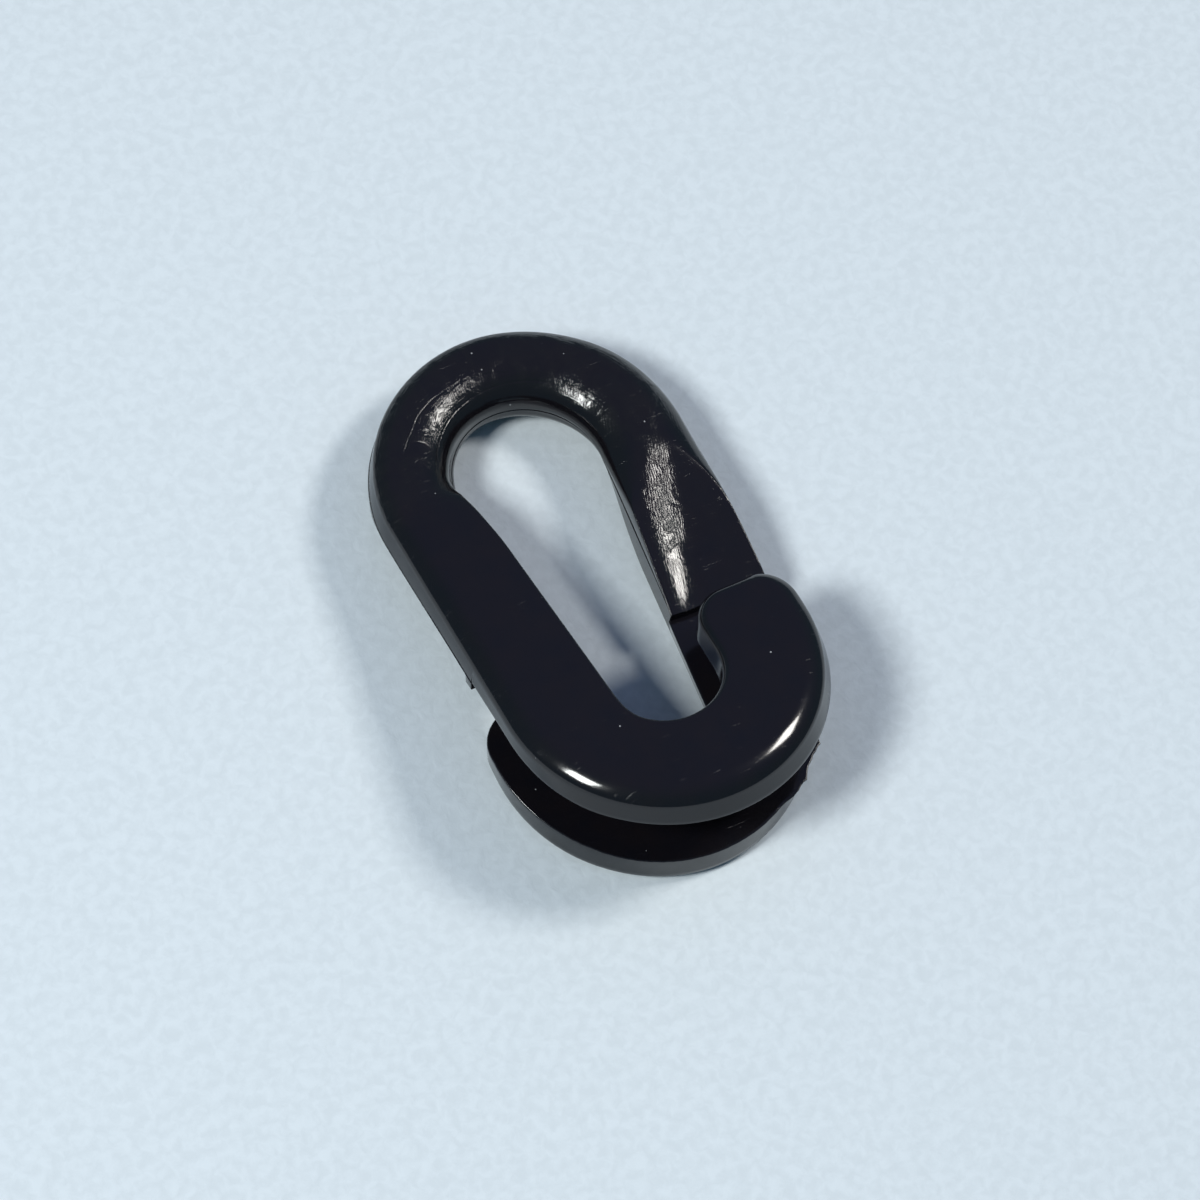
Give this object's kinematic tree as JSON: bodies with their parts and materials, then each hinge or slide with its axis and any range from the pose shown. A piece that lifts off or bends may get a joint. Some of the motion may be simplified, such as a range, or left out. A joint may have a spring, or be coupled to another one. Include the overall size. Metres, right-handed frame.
{
  "type": "split connecting link",
  "caption": "Black plastic split link for fence chain, rope or wire: a stiff round bow with two springy hooks that lap over each other to close the eye.",
  "frame": {"origin": "on the axis of the round seat inside the bow, on the link's mid-plane", "axes": "+Y along the link to the crown of the bow, +X to the shank of the lower hook, +Z along the seat's axis to the side that the upper hook springs towards"},
  "size_m": [0.025, 0.0446, 0.0126],
  "materials": {
    "black_plastic": "moulded black nylon, satin gloss, with swirled tool marks on the bow and one shank"
  },
  "bodies": {
    "bow": {"bow": "black_plastic"},
    "upper_hook": {"upper_hook": "black_plastic"},
    "lower_hook": {"lower_hook": "black_plastic"}
  },
  "joints": [
    {"name": "upper_hook_flex", "type": "hinge", "parent": "bow", "child": "upper_hook", "pos_m": [0, 0, 0], "axis": [-1, 0, 0], "range_deg": [-5.8, 8], "stiffness_Nm_per_rad": 1.5},
    {"name": "lower_hook_flex", "type": "hinge", "parent": "bow", "child": "lower_hook", "pos_m": [0, 0, 0], "axis": [1, 0, 0], "range_deg": [-5.8, 8], "stiffness_Nm_per_rad": 1.5}
  ]
}
